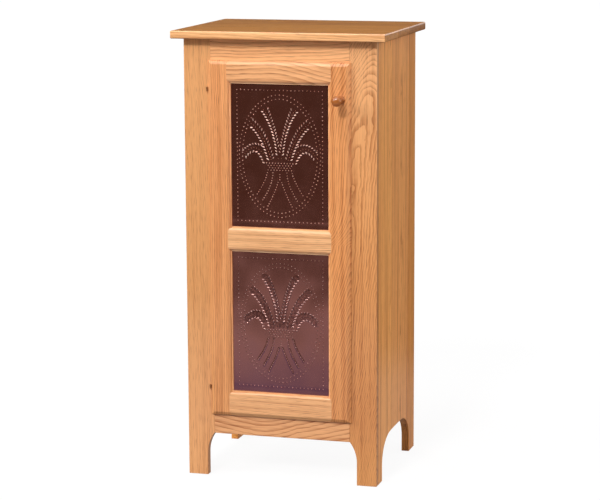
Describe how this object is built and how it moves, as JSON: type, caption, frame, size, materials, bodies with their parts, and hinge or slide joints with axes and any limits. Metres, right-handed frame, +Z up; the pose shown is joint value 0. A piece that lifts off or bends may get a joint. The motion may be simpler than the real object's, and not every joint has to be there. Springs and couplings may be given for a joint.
{
  "type": "pie safe",
  "caption": "Narrow free-standing oak pie safe with a lipped, framed door that holds punched copper-coloured tins, shelves inside and feet cut into the case.",
  "frame": {"origin": "on the floor, below the middle of the object's box, from the front of the knob to the back edge of the top", "axes": "+X to the viewer's right as they face the door, +Y from the door to the back, +Z up"},
  "size_m": [0.527, 0.452, 1.0922],
  "materials": {
    "oak": "honey oak, satin lacquer",
    "oak_inside": "oak and oak plywood, thin clear coat",
    "punched_tin": "copper-coloured sheet with an antiqued dark brown patina",
    "knob_wood": "turned hardwood, reddish-brown, glossy lacquer",
    "hinge_bronze": "dark antique bronze",
    "steel": "zinc-plated",
    "catch_plastic": "brown moulded plastic",
    "magnet": "grey ferrite"
  },
  "bodies": {
    "case": {"top_board_front": "oak", "top_board_middle": "oak", "top_board_rear": "oak", "side_board_left_front": "oak", "side_board_left_middle": "oak", "side_board_left_rear": "oak", "side_board_right_front": "oak", "side_board_right_middle": "oak", "side_board_right_rear": "oak", "face_stile_left": "oak", "face_stile_right": "oak", "face_rail_top": "oak", "face_rail_bottom": "oak", "bottom_panel": "oak_inside", "back_panel": "oak_inside", "top_cleat_front": "oak_inside", "top_cleat_rear": "oak_inside", "fixed_shelf": "oak_inside", "adjustable_shelf_lower": "oak_inside", "adjustable_shelf_upper": "oak_inside", "shelf_pin_lower_left_front": "steel", "shelf_pin_lower_left_rear": "steel", "shelf_pin_lower_right_front": "steel", "shelf_pin_lower_right_rear": "steel", "shelf_pin_upper_left_front": "steel", "shelf_pin_upper_left_rear": "steel", "shelf_pin_upper_right_front": "steel", "shelf_pin_upper_right_rear": "steel", "catch_body": "catch_plastic", "catch_magnet": "magnet", "hinge_frame_leaf_lower": "hinge_bronze", "hinge_frame_leaf_upper": "hinge_bronze", "hinge_pin_lower": "hinge_bronze", "hinge_pin_upper": "hinge_bronze"},
    "door": {"door_stile_left": "oak", "door_stile_right": "oak", "door_rail_top": "oak", "door_rail_middle": "oak", "door_rail_bottom": "oak", "punched_tin_lower": "punched_tin", "punched_tin_upper": "punched_tin", "tin_retainer_lower_bottom": "oak_inside", "tin_retainer_lower_top": "oak_inside", "tin_retainer_lower_left": "oak_inside", "tin_retainer_lower_right": "oak_inside", "tin_retainer_upper_bottom": "oak_inside", "tin_retainer_upper_top": "oak_inside", "tin_retainer_upper_left": "oak_inside", "tin_retainer_upper_right": "oak_inside", "door_knob": "knob_wood", "knob_screw": "steel", "hinge_door_leaf_lower": "hinge_bronze", "hinge_door_leaf_upper": "hinge_bronze", "catch_strike_plate": "steel"}
  },
  "joints": [
    {"name": "door_hinge", "type": "hinge", "parent": "case", "child": "door", "pos_m": [-0.17899, -0.17174, 0.5886], "axis": [0, 0, -1], "range_deg": [0, 160]}
  ]
}
